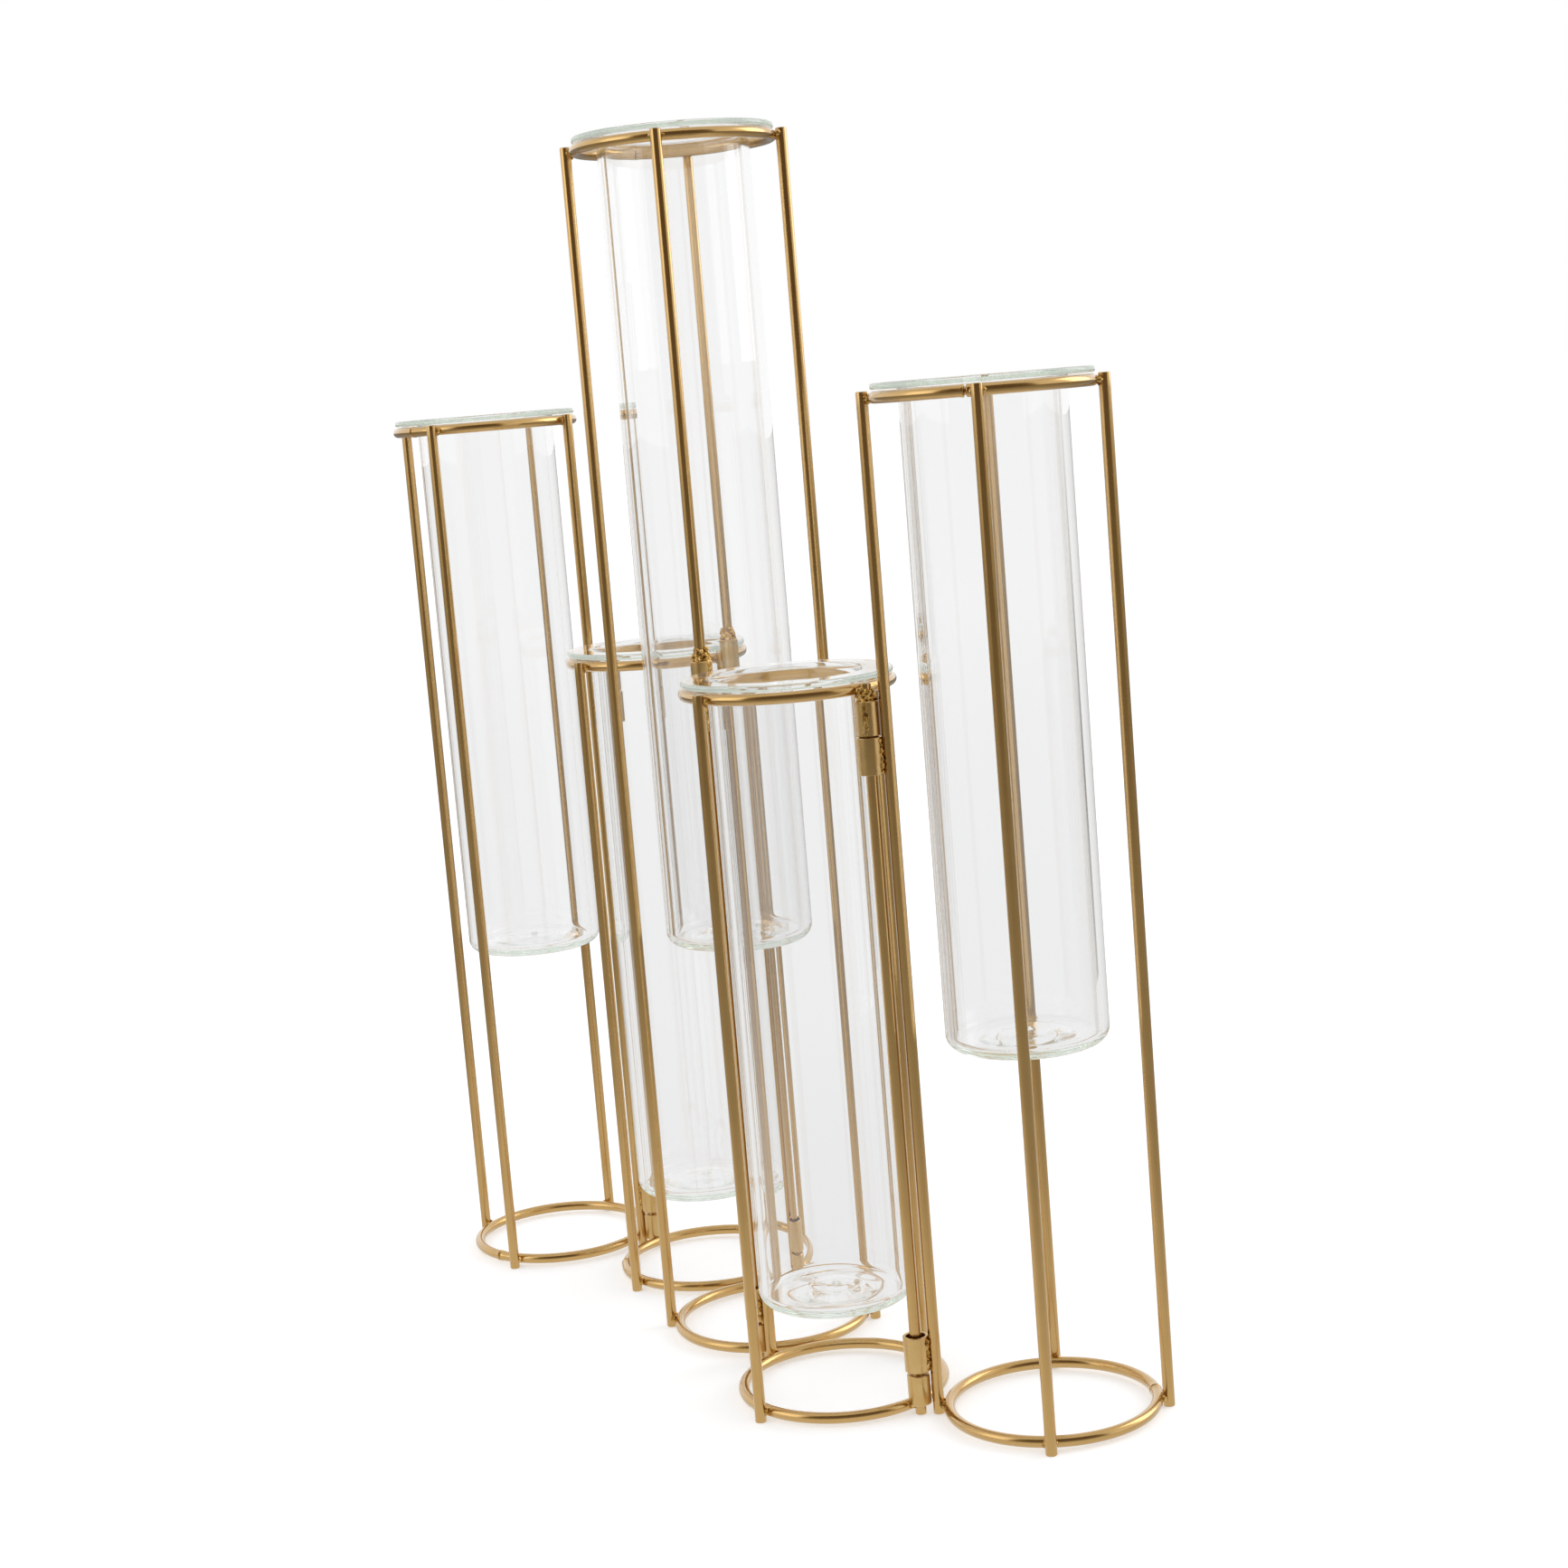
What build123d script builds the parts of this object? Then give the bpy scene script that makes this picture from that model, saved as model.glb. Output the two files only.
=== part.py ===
from build123d import *
from math import atan2, cos, degrees, radians, sin
import os

# Folding test tube vase: five wire frames in a chain, hinged leg to leg, and a glass tube
# hanging by its rim in each. X runs along the chain, Z is up and the legs stand on Z = 0.

# Wire of the frames
wire_diameter = 3.2
ring_outer_diameter = 60.0
short_leg_length = 203.0
mid_leg_length = 279.0
tall_leg_length = 355.0
leg_above_ring = 0.1
leg_below_ring = 0.8
leg_end_chamfer = 0.2
leg_set_into_ring = 0.2
seat_gap = 0.02

# Hinge sleeves, which turn on a neighbour's leg, and collars, which keep them in place
sleeve_diameter = 7.0
sleeve_length = 10.0
sleeve_set_onto_leg = 0.1
sleeve_running_clearance = 0.1
upper_collar_length = 9.5
lower_collar_length = 8.5
collar_to_leg_gap = 0.25
upper_hinge_gap = 0.3
lower_hinge_gap = 1.0
hinge_edge_chamfer = 0.25
tall_collar_below_ring = 3.5
lower_collar_above_ring_centre = 0.6

# Weld beads
stop_bead_radius = 2.8
tall_stop_bead_height = 5.0
short_stop_bead_height = 1.4
stop_bead_crown_height = 0.4
stop_bead_tip = 0.3
side_bead_radius = 0.9
side_bead_inset = 1.0
side_bead_spread = 1.5
side_bead_toward_leg = 0.35
side_bead_end_fillet = 0.5

# Glass tubes
tube_diameter = 44.0
tube_wall = 2.4
tube_floor = 2.6
short_tube_length = 176.0
tall_tube_length = 235.0
rim_to_leg_gap = 0.6
rim_thickness = 1.8
rim_edge_radius = 0.8
rim_root_radius = 0.5
rim_mouth_radius = 3.0
tube_heel_radius = 4.0
floor_corner_radius = 1.6
floor_push_up = 1.3
floor_ring_radius = 14.0
floor_blend_radius = 8.0
rim_seat_gap = 0.3

# How far each frame is turned on its hinge from a straight chain
left_end_turn_degrees = 23.6
left_short_turn_degrees = 46.2
right_short_turn_degrees = 47.5
right_end_turn_degrees = 42.1

wire_radius = wire_diameter / 2
ring_radius = ring_outer_diameter / 2 - wire_radius
leg_circle = ring_radius + wire_diameter - leg_set_into_ring
sleeve_radius = sleeve_diameter / 2
pin_reach = sleeve_radius + wire_radius - sleeve_set_onto_leg
collar_radius = pin_reach - wire_radius - collar_to_leg_gap
rim_radius = leg_circle - wire_radius - rim_to_leg_gap
bottom_ring_level = leg_below_ring + wire_radius
upright = (Align.CENTER, Align.CENTER, Align.MIN)
leg_sides = ("right", "back", "left", "front")


def direction(angle):
    """The level unit vector at an angle in degrees."""
    return Vector(cos(radians(angle)), sin(radians(angle)), 0)


def leg_angle(side_name):
    """How far round the frame a leg stands from the right leg, in degrees."""
    return leg_sides.index(side_name) * 360 / len(leg_sides)


class WireFrame:
    """One frame of the chain, with the leg and tube lengths that set its height."""

    def __init__(self, name, leg_length, tube_length, centre, heading):
        self.name = name
        self.leg_length = leg_length
        self.tube_length = tube_length
        self.centre = centre
        self.heading = heading
        self.top_ring_level = leg_length - leg_above_ring - wire_radius

    def place(self):
        return Pos(self.centre) * Rot(Z=self.heading)


def hinged_frame(name, inner, side, turn, leg_length, tube_length):
    """The frame whose sleeves turn on inner's leg; side is 1 to the right, -1 to the left."""
    heading = inner.heading + turn
    pin = inner.centre + direction(inner.heading) * (side * leg_circle)
    centre = pin + direction(heading) * (side * (pin_reach + leg_circle))
    return WireFrame(name, leg_length, tube_length, centre, heading)


def lay_out_chain():
    """Five frames, turned so that the end frames lie along X, over the origin."""
    tall = WireFrame("tall", tall_leg_length, tall_tube_length, Vector(0, 0, 0), 0)
    short_sizes = (short_leg_length, short_tube_length)
    mid_sizes = (mid_leg_length, short_tube_length)
    left_short = hinged_frame("left_short", tall, -1, left_short_turn_degrees, *short_sizes)
    left_end = hinged_frame("left_end", left_short, -1, left_end_turn_degrees, *mid_sizes)
    right_short = hinged_frame("right_short", tall, 1, right_short_turn_degrees, *short_sizes)
    right_end = hinged_frame("right_end", right_short, 1, right_end_turn_degrees, *mid_sizes)
    chain = [left_end, left_short, tall, right_short, right_end]

    span = right_end.centre - left_end.centre
    chain_angle = degrees(atan2(span.Y, span.X))
    for frame in chain:
        frame.centre = frame.centre.rotate(Axis.Z, -chain_angle)
        frame.heading -= chain_angle

    discs = []
    for frame in chain:
        discs.append((frame.centre, ring_outer_diameter / 2))
        for side_name in leg_sides:
            out = direction(frame.heading + leg_angle(side_name))
            leg_spot = frame.centre + out * leg_circle
            discs.append((leg_spot, wire_radius))
    low_x = min(spot.X - radius for spot, radius in discs)
    high_x = max(spot.X + radius for spot, radius in discs)
    low_y = min(spot.Y - radius for spot, radius in discs)
    high_y = max(spot.Y + radius for spot, radius in discs)
    middle = Vector((low_x + high_x) / 2, (low_y + high_y) / 2, 0)
    for frame in chain:
        frame.centre -= middle
    return chain


# Pieces of one frame, about its own centre with its right leg on +X

def ring(level, oversize=0):
    return Pos(0, 0, level) * Torus(ring_radius, wire_radius + oversize)


def leg(angle, leg_length, ring_levels):
    """A straight wire with cut ends, notched where it lies against the rings."""
    rod = Cylinder(wire_radius, leg_length, align=upright)
    rod = chamfer(rod.edges().filter_by(GeomType.CIRCLE), leg_end_chamfer)
    rod = Pos(direction(angle) * leg_circle) * rod
    for level in ring_levels:
        rod -= ring(level, seat_gap)
    return rod


def hinge_tube(outer_radius, bore_radius, length, along, level):
    """A short tube on a vertical axis at a distance along X."""
    body = Cylinder(outer_radius, length, align=upright)
    body = chamfer(body.edges().filter_by(GeomType.CIRCLE), hinge_edge_chamfer)
    body -= Cylinder(bore_radius, length, align=upright)
    return Pos(along, 0, level) * body


def stop_bead(height, along, level):
    """The domed weld that holds an upper collar to its leg."""
    bore = wire_radius + seat_gap
    tip = bore + stop_bead_tip
    foot = Line((bore, 0), (stop_bead_radius, 0))
    dome = SagittaArc((stop_bead_radius, 0), (tip, height), -stop_bead_crown_height)
    top = Polyline((tip, height), (bore, height), (bore, 0))
    section = Plane.XZ * make_face(foot + dome + top)
    return Pos(along, 0, level) * revolve(section, Axis.Z)


def side_beads(side, levels):
    """The two upright welds between each sleeve and the leg that carries it."""
    length = sleeve_length - 2 * side_bead_inset
    rod = Cylinder(side_bead_radius, length, align=upright)
    rod = fillet(rod.edges().filter_by(GeomType.CIRCLE), side_bead_end_fillet)
    leg_cut = Cylinder(wire_radius + seat_gap, length, align=upright)
    sleeve_cut = Cylinder(sleeve_radius + seat_gap, length, align=upright)
    along = side * (leg_circle + wire_radius - side_bead_toward_leg)
    beads = []
    for level in levels:
        for across in (-side_bead_spread, side_bead_spread):
            bead = Pos(along, across, 0) * rod
            bead -= Pos(side * leg_circle, 0, 0) * leg_cut
            bead -= Pos(side * (leg_circle + pin_reach), 0, 0) * sleeve_cut
            beads.append(Pos(0, 0, level + side_bead_inset) * bead)
    return Compound(children=beads)


def glass_tube(tube_length, level):
    """A tube with a flat floor pushed up in the middle and a rim that rests on the ring."""
    outer = tube_diameter / 2
    inner = outer - tube_wall
    floor_top = tube_floor - tube_length
    outline = FilletPolyline(
        (0, floor_push_up - tube_length),
        (floor_ring_radius, -tube_length),
        (outer, -tube_length),
        (outer, 0),
        (rim_radius, 0),
        (rim_radius, rim_thickness),
        (inner, rim_thickness),
        (inner, floor_top),
        (floor_ring_radius, floor_top),
        (0, floor_top + floor_push_up),
        radius=(
            floor_blend_radius,
            tube_heel_radius,
            rim_root_radius,
            rim_edge_radius,
            rim_edge_radius,
            rim_mouth_radius,
            floor_corner_radius,
            floor_blend_radius,
        ),
    )
    profile = Plane.XZ * make_face(outline + Line(outline @ 1, outline @ 0))
    return Pos(0, 0, level) * revolve(profile, Axis.Z)


nodes = {}


def keep(frame, piece_name, shape):
    nodes[f"{frame.name}_{piece_name}"] = frame.place() * shape


def build_frame(frame):
    """The rings, legs and glass tube of one frame."""
    levels = (bottom_ring_level, frame.top_ring_level)
    keep(frame, "bottom_ring", ring(bottom_ring_level))
    keep(frame, "top_ring", ring(frame.top_ring_level))
    for side_name in leg_sides:
        piece = leg(leg_angle(side_name), frame.leg_length, levels)
        keep(frame, f"leg_{side_name}", piece)
    tube_level = frame.top_ring_level + wire_radius + rim_seat_gap
    keep(frame, "glass_tube", glass_tube(frame.tube_length, tube_level))


def build_hinge(name, pin_frame, sleeve_frame, side):
    """Collars on the pin frame's leg and sleeves on the other frame's leg, top and bottom."""
    short_ring_level = min(pin_frame.top_ring_level, sleeve_frame.top_ring_level)
    if pin_frame.top_ring_level > short_ring_level:
        upper_level = short_ring_level - tall_collar_below_ring
        bead_height = tall_stop_bead_height
    else:
        under_ring = wire_radius + short_stop_bead_height + upper_collar_length
        upper_level = short_ring_level - under_ring
        bead_height = short_stop_bead_height
    lower_level = bottom_ring_level + lower_collar_above_ring_centre

    pin_at = side * leg_circle
    bore = wire_radius + seat_gap
    upper = hinge_tube(collar_radius, bore, upper_collar_length, pin_at, upper_level)
    lower = hinge_tube(collar_radius, bore, lower_collar_length, pin_at, lower_level)
    lower -= ring(bottom_ring_level, seat_gap)
    bead = stop_bead(bead_height, pin_at, upper_level + upper_collar_length)
    keep(pin_frame, f"collar_upper_{name}", upper)
    keep(pin_frame, f"collar_lower_{name}", lower)
    keep(pin_frame, f"collar_weld_{name}", bead)

    bore = wire_radius + sleeve_running_clearance
    sleeve_at = -side * (leg_circle + pin_reach)
    sleeve_levels = {
        "upper": upper_level - upper_hinge_gap - sleeve_length,
        "lower": lower_level + lower_collar_length + lower_hinge_gap,
    }
    leg_cut = Cylinder(wire_radius + seat_gap, sleeve_length, align=upright)
    for end, level in sleeve_levels.items():
        sleeve = hinge_tube(sleeve_radius, bore, sleeve_length, sleeve_at, level)
        sleeve -= Pos(-side * leg_circle, 0, level) * leg_cut
        keep(sleeve_frame, f"sleeve_{end}", sleeve)
    keep(sleeve_frame, "sleeve_welds", side_beads(-side, sleeve_levels.values()))


chain = lay_out_chain()
left_end, left_short, tall, right_short, right_end = chain
for frame in chain:
    build_frame(frame)
build_hinge("left", left_short, left_end, -1)
build_hinge("left", tall, left_short, -1)
build_hinge("right", tall, right_short, 1)
build_hinge("right", right_short, right_end, 1)

os.makedirs("parts", exist_ok=True)
for name, shape in nodes.items():
    export_step(shape, f"parts/{name}.step")
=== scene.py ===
from math import atan2, cos, exp, pi, radians, sin, tan

import bmesh
import bpy
from mathutils import Matrix, Vector


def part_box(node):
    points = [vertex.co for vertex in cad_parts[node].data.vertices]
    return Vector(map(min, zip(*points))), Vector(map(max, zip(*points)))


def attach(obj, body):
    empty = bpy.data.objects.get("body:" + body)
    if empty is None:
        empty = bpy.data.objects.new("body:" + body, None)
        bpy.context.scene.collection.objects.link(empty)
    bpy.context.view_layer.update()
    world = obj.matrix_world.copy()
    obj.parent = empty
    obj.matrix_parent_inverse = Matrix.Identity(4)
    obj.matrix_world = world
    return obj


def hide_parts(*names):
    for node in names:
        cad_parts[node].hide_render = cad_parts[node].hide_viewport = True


# Folding test tube vase: gold wire frames hinged in a chain, with a glass tube in each.
# Lengths are in metres and places are read from the frame.

MM = 0.001

FRAME_NAMES = ("left_end", "left_short", "tall", "right_short", "right_end")
LEG_SIDES = ("right", "back", "left", "front")

# Camera, from the outlines of the rings and legs in the photograph
PHOTO_PIXELS = 1734
FOCAL_PIXELS = 2950.73
SENSOR_WIDTH = 36.0
CAMERA_PLACE = Vector((0.6307, -0.4719, 0.2815))
CAMERA_YAW = radians(51.84)
CAMERA_PITCH = radians(8.407)
CAMERA_ROLL = radians(-4.72)
CAMERA_NEAR = 0.01
CAMERA_FAR = 50

# Wire
WIRE_SEGMENTS = 28
RING_STEPS = 150
LEG_STEP = 4 * MM
LEG_END_CHAMFER = 0.22 * MM
HEAT_REACH = 3.2 * MM
HEAT_STRENGTH = 0.9
MERGE_DISTANCE = 1e-7

# Butt weld of a ring: steps away from the seam and how far the skin stands there
SEAM_PROFILE = (
    (0.00 * MM, -0.80 * MM),
    (0.16 * MM, -0.70 * MM),
    (0.24 * MM, -0.22 * MM),
    (0.34 * MM, 0.02 * MM),
    (0.55 * MM, 0.16 * MM),
    (0.95 * MM, 0.12 * MM),
    (1.70 * MM, 0.00 * MM),
)
SEAM_CLEARANCE_SHARE = 1.3
# Where each ring's seam lies, in degrees from the turn of its frame
TOP_SEAMS = {"left_end": 250, "left_short": 60, "tall": 216, "right_short": 20, "right_end": 264}
BASE_SEAMS = {"left_end": 255, "left_short": 230, "tall": 190, "right_short": 262, "right_end": 10}

# Hinge sleeves, wider inside than the legs that they turn on
SLEEVE_RADIUS = 3.5 * MM
SLEEVE_WALL = 0.8 * MM
SLEEVE_EDGE = 0.15 * MM
SLEEVE_SEGMENTS = 56
# Each hinged frame, with the neighbour and that neighbour's leg that its sleeves turn on
HINGES = {
    "left_end": ("left_short", "left"),
    "left_short": ("tall", "left"),
    "right_short": ("tall", "right"),
    "right_end": ("right_short", "right"),
}

# Weld metal: beads of random size, fused and roughened
BEAD_VOXEL = 0.14 * MM
BEAD_SCATTER = 0.3 * MM
BEAD_LEAST_SHARE = 0.78
BEAD_MOST_SHARE = 1.18
BEAD_MELT = 5
BEAD_ROUGHNESS = 0.5 * MM
BEAD_GRAIN = 2100.0
BEAD_SEED = 7
LEG_BEAD_RADIUS = 0.8 * MM
LEG_BEAD_SIDE = 1.55 * MM
LEG_BEAD_BACK = 1.1 * MM
LEG_BEAD_DROP = 1.1 * MM
LEG_UNDER_BEAD_SHARE = 0.7
SLEEVE_BEAD_RADIUS = 0.6 * MM
SLEEVE_BEAD_SIDE = 1.5 * MM
SLEEVE_BEAD_PITCH = 0.6 * MM
SLEEVE_BEAD_INSET = 1.0 * MM
SLEEVE_BEAD_SEAT_SHARE = 0.9
STOP_BEAD_RADIUS = 0.85 * MM
STOP_WELD_HEIGHT = 4.0 * MM
STOP_BEAD_TURNS = 7
STOP_BEAD_PITCH = 0.9 * MM
STOP_BEAD_SEAT_SHARE = 0.6
STOP_BEAD_START_SHARE = 0.4
STOP_BEAD_TAPER_SHARE = 0.25
RUN_BEAD_RADIUS = 0.42 * MM
RUN_BEAD_PITCH = 0.42 * MM
RUN_BEAD_SPREAD = 0.45 * MM
RUN_BEAD_SINK_SHARE = 0.35
RUN_EDGE_SINK_SHARE = 0.25
COLLAR_WELD_PROUD = 0.14 * MM
COLLAR_WELD_REACH = 6 * MM
# Where the run of weld goes down each upper collar, in degrees from the turn of its frame
WELD_RUNS = {
    "left_short_collar_upper_left": 200,
    "tall_collar_upper_left": 150,
    "tall_collar_upper_right": 60,
    "right_short_collar_upper_right": -56,
}

# Glass
GLASS_SEGMENTS = 144
TUBE_RADIUS = 22.0 * MM
TUBE_WALL = 2.4 * MM
TUBE_FLOOR = 2.6 * MM
RIM_THICKNESS = 1.8 * MM
RIM_EDGE_RADIUS = 0.8 * MM
RIM_ROOT_RADIUS = 0.5 * MM
RIM_MOUTH_RADIUS = 3.0 * MM
HEEL_RADIUS = 4.0 * MM
FLOOR_CORNER_RADIUS = 1.6 * MM
FLOOR_PUSH_UP = 1.3 * MM
FLOOR_RING_RADIUS = 14.0 * MM
FLOOR_BLEND_RADIUS = 8.0 * MM
FLOOR_RIDGE_RADIUS = 7.5 * MM
FLOOR_RIDGE_HEIGHT = 0.2 * MM
FLOOR_SEED_RADIUS = 1.5 * MM
FLOOR_SEED_HEIGHT = 0.8 * MM
ARC_STEP = radians(6)

# Studio floors: the one that shows, and two that shade outwards from the vase
FLOOR_WIDTH = 30
FLOOR_GLOW = 0.4
FLOOR_PALE = (0.82, 0.82, 0.82)
FLOOR_GREY = (0.80, 0.80, 0.80)
FLOOR_ROUGHNESS = 0.9
FLOOR_SHINE = 0.1
BRIGHT_FLOOR_REACH = 0.13
DIM_FLOOR_REACH = 1.1
DIM_FLOOR_TONES = (
    (0.0, (0.8, 0.79, 0.76)),
    (0.25, (0.4, 0.39, 0.37)),
    (1.0, (0.26, 0.245, 0.225)),
)
GLASS_FLOOR_REACH = 2.5
GLASS_FLOOR_TONES = (
    (0.0, (0.87, 0.87, 0.87)),
    (0.16, (0.94, 0.94, 0.94)),
    (1.0, (1, 1, 1)),
)

# Cards round the vase, with their tones from foot to top
CARD_DISTANCE = 0.62
CARD_WIDTH = 1.3
CARD_HEIGHT = 1.1
CARD_TONES = (
    (0.02, (0.34, 0.33, 0.3)),
    (0.12, (0.21, 0.185, 0.15)),
    (0.3, (0.13, 0.093, 0.066)),
)
SIDE_CARD_DISTANCE = 0.55
SIDE_CARD_WIDTH = 0.12
SIDE_CARD_HEIGHT = 0.34
SIDE_CARD_TURN = radians(112)
SIDE_CARD_TONES = (
    (0.0, (0.5, 0.5, 0.5)),
    (0.3, (0.2, 0.2, 0.2)),
    (0.9, (1, 1, 1)),
)

# Side lights, with their turns from the camera and their powers, and the sky
LIGHT_WIDTH = 0.8
LIGHT_HEIGHT = 1.0
LIGHT_FOOT = 0.27
LIGHT_DISTANCE = 1.25
SIDE_LIGHTS = (
    ("left_light", radians(-68), 1.6),
    ("right_light", radians(104), 4.5),
)
SKY_TONES = (
    (0.3, (1, 1, 1)),
    (0.85, (0.8, 0.8, 0.81)),
)
LIGHT_BOUNCES = 64

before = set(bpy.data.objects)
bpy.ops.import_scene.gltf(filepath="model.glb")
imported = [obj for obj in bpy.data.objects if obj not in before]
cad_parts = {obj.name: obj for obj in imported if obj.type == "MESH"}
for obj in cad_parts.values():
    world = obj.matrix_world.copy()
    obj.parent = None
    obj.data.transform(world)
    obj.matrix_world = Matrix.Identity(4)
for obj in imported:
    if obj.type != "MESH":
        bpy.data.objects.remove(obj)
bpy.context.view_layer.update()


# Places read from the frame

def middle(node):
    """The middle of a node's box."""
    low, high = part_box(node)
    return (low + high) / 2


def size(node):
    """The three sides of a node's box."""
    low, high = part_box(node)
    return high - low


def level(spot, height):
    """A spot moved straight up or down to a height."""
    return Vector((spot.x, spot.y, height))


def heading(turn):
    """The level unit vector at a turn."""
    return Vector((cos(turn), sin(turn), 0))


def crosswise(way):
    """The level vector at a right angle to a level one."""
    return Vector((-way.y, way.x, 0))


def pin_axis(name):
    """The middle of the neighbour's leg that a frame's sleeves turn on."""
    inner, side = HINGES[name]
    return middle(f"{inner}_leg_{side}")


def bearing(name):
    """The turn of a frame: the direction from its middle to its right leg."""
    out = middle(f"{name}_leg_right") - middle(f"{name}_bottom_ring")
    return atan2(out.y, out.x)


# Material helpers

# Places of a Mix node's sockets when it mixes colours
MIX_FACTOR = 0
MIX_FIRST = 6
MIX_SECOND = 7
MIX_RESULT = 2

# How fast a noise pattern's finer waves fade, and the stretch that holds nearly all of it
NOISE_ROUGHNESS = 0.55
NOISE_LOW = 0.3
NOISE_HIGH = 0.7


def new_material(name):
    """A new material with its node tree and its shader."""
    material = bpy.data.materials.new(name)
    material.use_nodes = True
    tree = material.node_tree
    shader = tree.nodes["Principled BSDF"]
    return material, tree, shader


def add(tree, kind, **values):
    """A new node; values are its settings, or its inputs where the name is an input's."""
    node = tree.nodes.new(kind)
    for key, value in values.items():
        name = key.replace("_", " ")
        if name in node.inputs:
            node.inputs[name].default_value = value
        else:
            setattr(node, key, value)
    return node


def link(tree, source, target):
    tree.links.new(source, target)


def object_place(tree):
    """Where a point lies on its piece, in metres."""
    return tree.nodes.new("ShaderNodeTexCoord").outputs["Object"]


def ramp(tree, factor, stops):
    """A shade between two or more stops, each a place and a colour."""
    node = tree.nodes.new("ShaderNodeValToRGB")
    elements = node.color_ramp.elements
    while len(elements) < len(stops):
        elements.new(1.0)
    for element, (place, colour) in zip(elements, stops):
        element.position = place
        element.color = (*colour, 1)
    link(tree, factor, node.inputs["Fac"])
    return node.outputs["Color"]


def mix(tree, factor, first, second, blend="MIX"):
    """Mixes two colours; each may be an output or a plain colour."""
    node = tree.nodes.new("ShaderNodeMix")
    node.data_type = "RGBA"
    node.blend_type = blend
    for socket, value in ((MIX_FACTOR, factor), (MIX_FIRST, first), (MIX_SECOND, second)):
        if isinstance(value, bpy.types.NodeSocket):
            link(tree, value, node.inputs[socket])
        elif socket == MIX_FACTOR:
            node.inputs[socket].default_value = value
        else:
            node.inputs[socket].default_value = (*value, 1)
    return node.outputs[MIX_RESULT]


def noise(tree, vector, scale, detail):
    """A noise pattern with a number of repeats in a metre."""
    node = add(tree, "ShaderNodeTexNoise", Scale=scale, Detail=detail, Roughness=NOISE_ROUGHNESS)
    link(tree, vector, node.inputs["Vector"])
    return node.outputs["Fac"]


def stretched_noise(tree, vector, repeats, detail):
    """Noise with a number of repeats in a metre for each direction."""
    mapping = add(tree, "ShaderNodeMapping", Scale=repeats)
    link(tree, vector, mapping.inputs["Vector"])
    return noise(tree, mapping.outputs["Vector"], 1.0, detail)


def bumped(tree, shader, height, distance, strength):
    """Gives a finish a relief of some depth."""
    bump = add(tree, "ShaderNodeBump", Strength=strength, Distance=distance)
    link(tree, height, bump.inputs["Height"])
    link(tree, bump.outputs["Normal"], shader.inputs["Normal"])


def span(tree, value, low, high, to_low, to_high):
    """A value moved from one stretch of numbers to another."""
    node = add(tree, "ShaderNodeMapRange")
    for socket, number in zip(range(1, 5), (low, high, to_low, to_high)):
        node.inputs[socket].default_value = number
    link(tree, value, node.inputs[0])
    return node.outputs[0]


def sheened(tree, shader, pattern, least, most):
    """Lets a noise pattern vary a finish between two roughnesses."""
    rough = span(tree, pattern, NOISE_LOW, NOISE_HIGH, least, most)
    link(tree, rough, shader.inputs["Roughness"])


def plated(shader, lacquer, lacquer_roughness):
    """Bare metal under a clear lacquer."""
    shader.inputs["Metallic"].default_value = 1.0
    shader.inputs["Coat Weight"].default_value = lacquer
    shader.inputs["Coat IOR"].default_value = LACQUER_IOR
    shader.inputs["Coat Roughness"].default_value = lacquer_roughness


# Materials

# Colours of the plating and the weld metal
GOLD = (0.65, 0.40, 0.105)
GOLD_DEEP = (0.57, 0.325, 0.074)
GOLD_SATIN = (0.70, 0.475, 0.19)
HEAT_TINT = (0.36, 0.13, 0.04)
WELD_PAINTED_HIGHLIGHT = (0.86, 0.64, 0.33)
WELD_HOLLOW = (0.2, 0.1, 0.04)
# Weld tones follow the noise that also raises the weld's relief: dark brown in its low places, and
# a painted highlight on its high places
WELD_TONES = (
    (0.34, WELD_HOLLOW),
    (0.46, GOLD_DEEP),
    (0.54, GOLD),
    (0.66, WELD_PAINTED_HIGHLIGHT),
)
LACQUER_IOR = 1.8

# Glass: its two clear tones, what a metre of it takes of red, green and blue, and the tone of the
# pale green painted glow that it gives out in place of that, stronger along long paths through it
GLASS_CLEAR = (0.97, 0.97, 0.972)
GLASS_CLOUDED = (0.962, 0.962, 0.966)
GLASS_IOR = 1.5
GLASS_DEPTH = (5.0, 4.0, 5.0)
GLASS_GLOW_TONE = (0.58, 0.66, 0.56)

# Patterns, as repeats in a metre; the drawn and turned lines have one number for each direction
DRAWN_LINES = (40, 1900, 1)
WIRE_CLOUDS = 140.0
WIRE_PITS = 2100.0
TURNED_LINES = (300, 300, 5200)
HINGE_CLOUDS = 260.0
WELD_LUMPS = 900.0
WELD_GRIT = 3800.0
GLASS_CLOUDS = 12.0
PAPER_GRAIN = 900.0
FINE_SHARE = 0.4

# Reliefs, as a depth and a strength
WIRE_RELIEF = (0.008 * MM, 0.12)
HINGE_RELIEF = (0.02 * MM, 0.35)
WELD_RELIEF = (0.25 * MM, 0.8)


def gold_wire():
    """Lacquered gold wire: drawn lines along it, small pits, and heat tint by its welds."""
    material, tree, shader = new_material("gold_wire")
    skin = tree.nodes.new("ShaderNodeUVMap").outputs["UV"]
    place = object_place(tree)
    drawn = stretched_noise(tree, skin, DRAWN_LINES, detail=4.0)
    cloud = noise(tree, place, WIRE_CLOUDS, detail=4.0)
    pits = noise(tree, place, WIRE_PITS, detail=2.0)
    heat = add(tree, "ShaderNodeAttribute", attribute_name="heat").outputs["Fac"]

    body = mix(tree, cloud, GOLD, GOLD_DEEP)
    tint = mix(tree, heat, body, HEAT_TINT)
    link(tree, tint, shader.inputs["Base Color"])
    plated(shader, lacquer=1.0, lacquer_roughness=0.15)
    sheened(tree, shader, drawn, least=0.2, most=0.27)
    bumped(tree, shader, mix(tree, FINE_SHARE, drawn, pits), *WIRE_RELIEF)
    return material


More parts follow.
